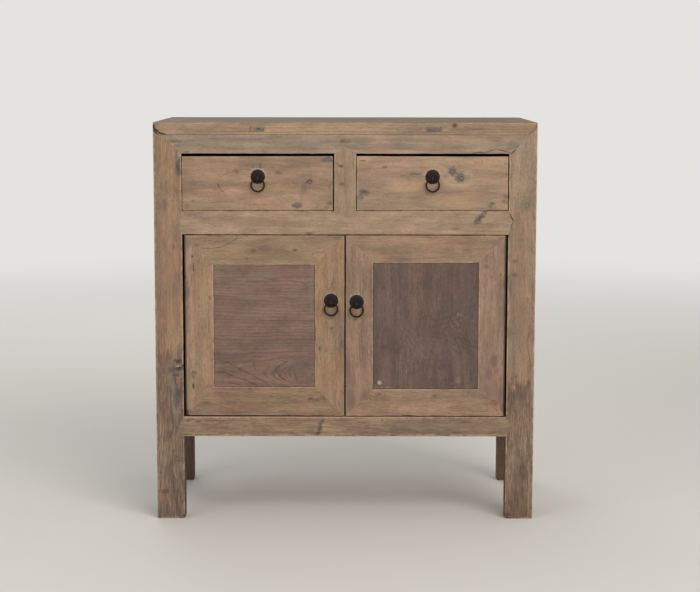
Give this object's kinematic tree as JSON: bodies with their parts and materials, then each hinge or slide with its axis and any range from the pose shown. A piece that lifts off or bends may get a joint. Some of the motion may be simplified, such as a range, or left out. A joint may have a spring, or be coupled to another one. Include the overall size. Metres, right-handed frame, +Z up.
{
  "type": "kang cabinet",
  "caption": "Low east asian cabinet on straight legs, with drawers over framed doors, iron ring pulls and mitred, pegless joinery.",
  "frame": {"origin": "on the floor, under the middle of the whole box with the ring pulls", "axes": "+X along the front to the viewer's right, +Y from the front to the back, +Z up"},
  "size_m": [0.9, 0.4578, 0.948],
  "materials": {
    "frame_wood": "worn, dry reclaimed wood with a dull wax",
    "case_panel_wood": "worn, dry reclaimed boards",
    "left_door_panel_wood": "worn brown board with wavy grain",
    "right_door_panel_wood": "worn grey-brown board with straight grain",
    "inner_wood": "unfinished sawn wood",
    "dark_iron": "blackened forged iron"
  },
  "bodies": {
    "case": {"front_left_leg": "frame_wood", "front_right_leg": "frame_wood", "back_left_leg": "frame_wood", "back_right_leg": "frame_wood", "top_front_rail": "frame_wood", "top_back_rail": "frame_wood", "left_top_rail": "frame_wood", "right_top_rail": "frame_wood", "top_frame_front": "frame_wood", "top_frame_back": "frame_wood", "top_frame_left": "frame_wood", "top_frame_right": "frame_wood", "middle_front_rail": "frame_wood", "middle_back_rail": "frame_wood", "drawer_divider": "frame_wood", "bottom_front_rail": "frame_wood", "bottom_back_rail": "frame_wood", "left_bottom_rail": "frame_wood", "right_bottom_rail": "frame_wood", "top_panel": "case_panel_wood", "left_side_panel": "case_panel_wood", "right_side_panel": "case_panel_wood", "upper_back_panel": "case_panel_wood", "lower_back_panel": "case_panel_wood", "top_battens": "inner_wood", "centre_kicker": "inner_wood", "side_runners": "inner_wood", "centre_runner": "inner_wood", "floor_boards": "inner_wood", "door_stops": "inner_wood"},
    "left_drawer": {"left_drawer_front": "frame_wood", "left_drawer_sides": "inner_wood", "left_drawer_back": "inner_wood", "left_drawer_bottom": "inner_wood", "left_drawer_plate": "dark_iron", "left_drawer_staple": "dark_iron"},
    "left_drawer_pull": {"left_drawer_ring": "dark_iron"},
    "left_door": {"left_door_hinge_stile": "frame_wood", "left_door_meeting_stile": "frame_wood", "left_door_top_rail": "frame_wood", "left_door_bottom_rail": "frame_wood", "left_door_panel": "left_door_panel_wood", "left_door_plate": "dark_iron", "left_door_staple": "dark_iron"},
    "left_door_pull": {"left_door_ring": "dark_iron"},
    "right_drawer": {"right_drawer_front": "frame_wood", "right_drawer_sides": "inner_wood", "right_drawer_back": "inner_wood", "right_drawer_bottom": "inner_wood", "right_drawer_plate": "dark_iron", "right_drawer_staple": "dark_iron"},
    "right_drawer_pull": {"right_drawer_ring": "dark_iron"},
    "right_door": {"right_door_hinge_stile": "frame_wood", "right_door_meeting_stile": "frame_wood", "right_door_top_rail": "frame_wood", "right_door_bottom_rail": "frame_wood", "right_door_panel": "right_door_panel_wood", "right_door_plate": "dark_iron", "right_door_staple": "dark_iron"},
    "right_door_pull": {"right_door_ring": "dark_iron"}
  },
  "joints": [
    {"name": "left_drawer_slide", "type": "slide", "parent": "case", "child": "left_drawer", "axis": [0, -1, 0], "range_m": [0, 0.3]},
    {"name": "left_drawer_ring_swing", "type": "hinge", "parent": "left_drawer", "child": "left_drawer_pull", "pos_m": [-0.205, -0.22445, 0.817], "axis": [-1, 0, 0], "range_deg": [0, 170]},
    {"name": "right_drawer_slide", "type": "slide", "parent": "case", "child": "right_drawer", "axis": [0, -1, 0], "range_m": [0, 0.3]},
    {"name": "right_drawer_ring_swing", "type": "hinge", "parent": "right_drawer", "child": "right_drawer_pull", "pos_m": [0.205, -0.22445, 0.817], "axis": [-1, 0, 0], "range_deg": [0, 170]},
    {"name": "left_door_hinge", "type": "hinge", "parent": "case", "child": "left_door", "pos_m": [-0.367, -0.20505, 0.467], "axis": [0, 0, -1], "range_deg": [0, 105]},
    {"name": "left_door_ring_swing", "type": "hinge", "parent": "left_door", "child": "left_door_pull", "pos_m": [-0.03325, -0.22445, 0.524], "axis": [-1, 0, 0], "range_deg": [0, 170]},
    {"name": "right_door_hinge", "type": "hinge", "parent": "case", "child": "right_door", "pos_m": [0.367, -0.20505, 0.467], "axis": [0, 0, 1], "range_deg": [0, 105]},
    {"name": "right_door_ring_swing", "type": "hinge", "parent": "right_door", "child": "right_door_pull", "pos_m": [0.02725, -0.22445, 0.521], "axis": [-1, 0, 0], "range_deg": [0, 170]}
  ]
}
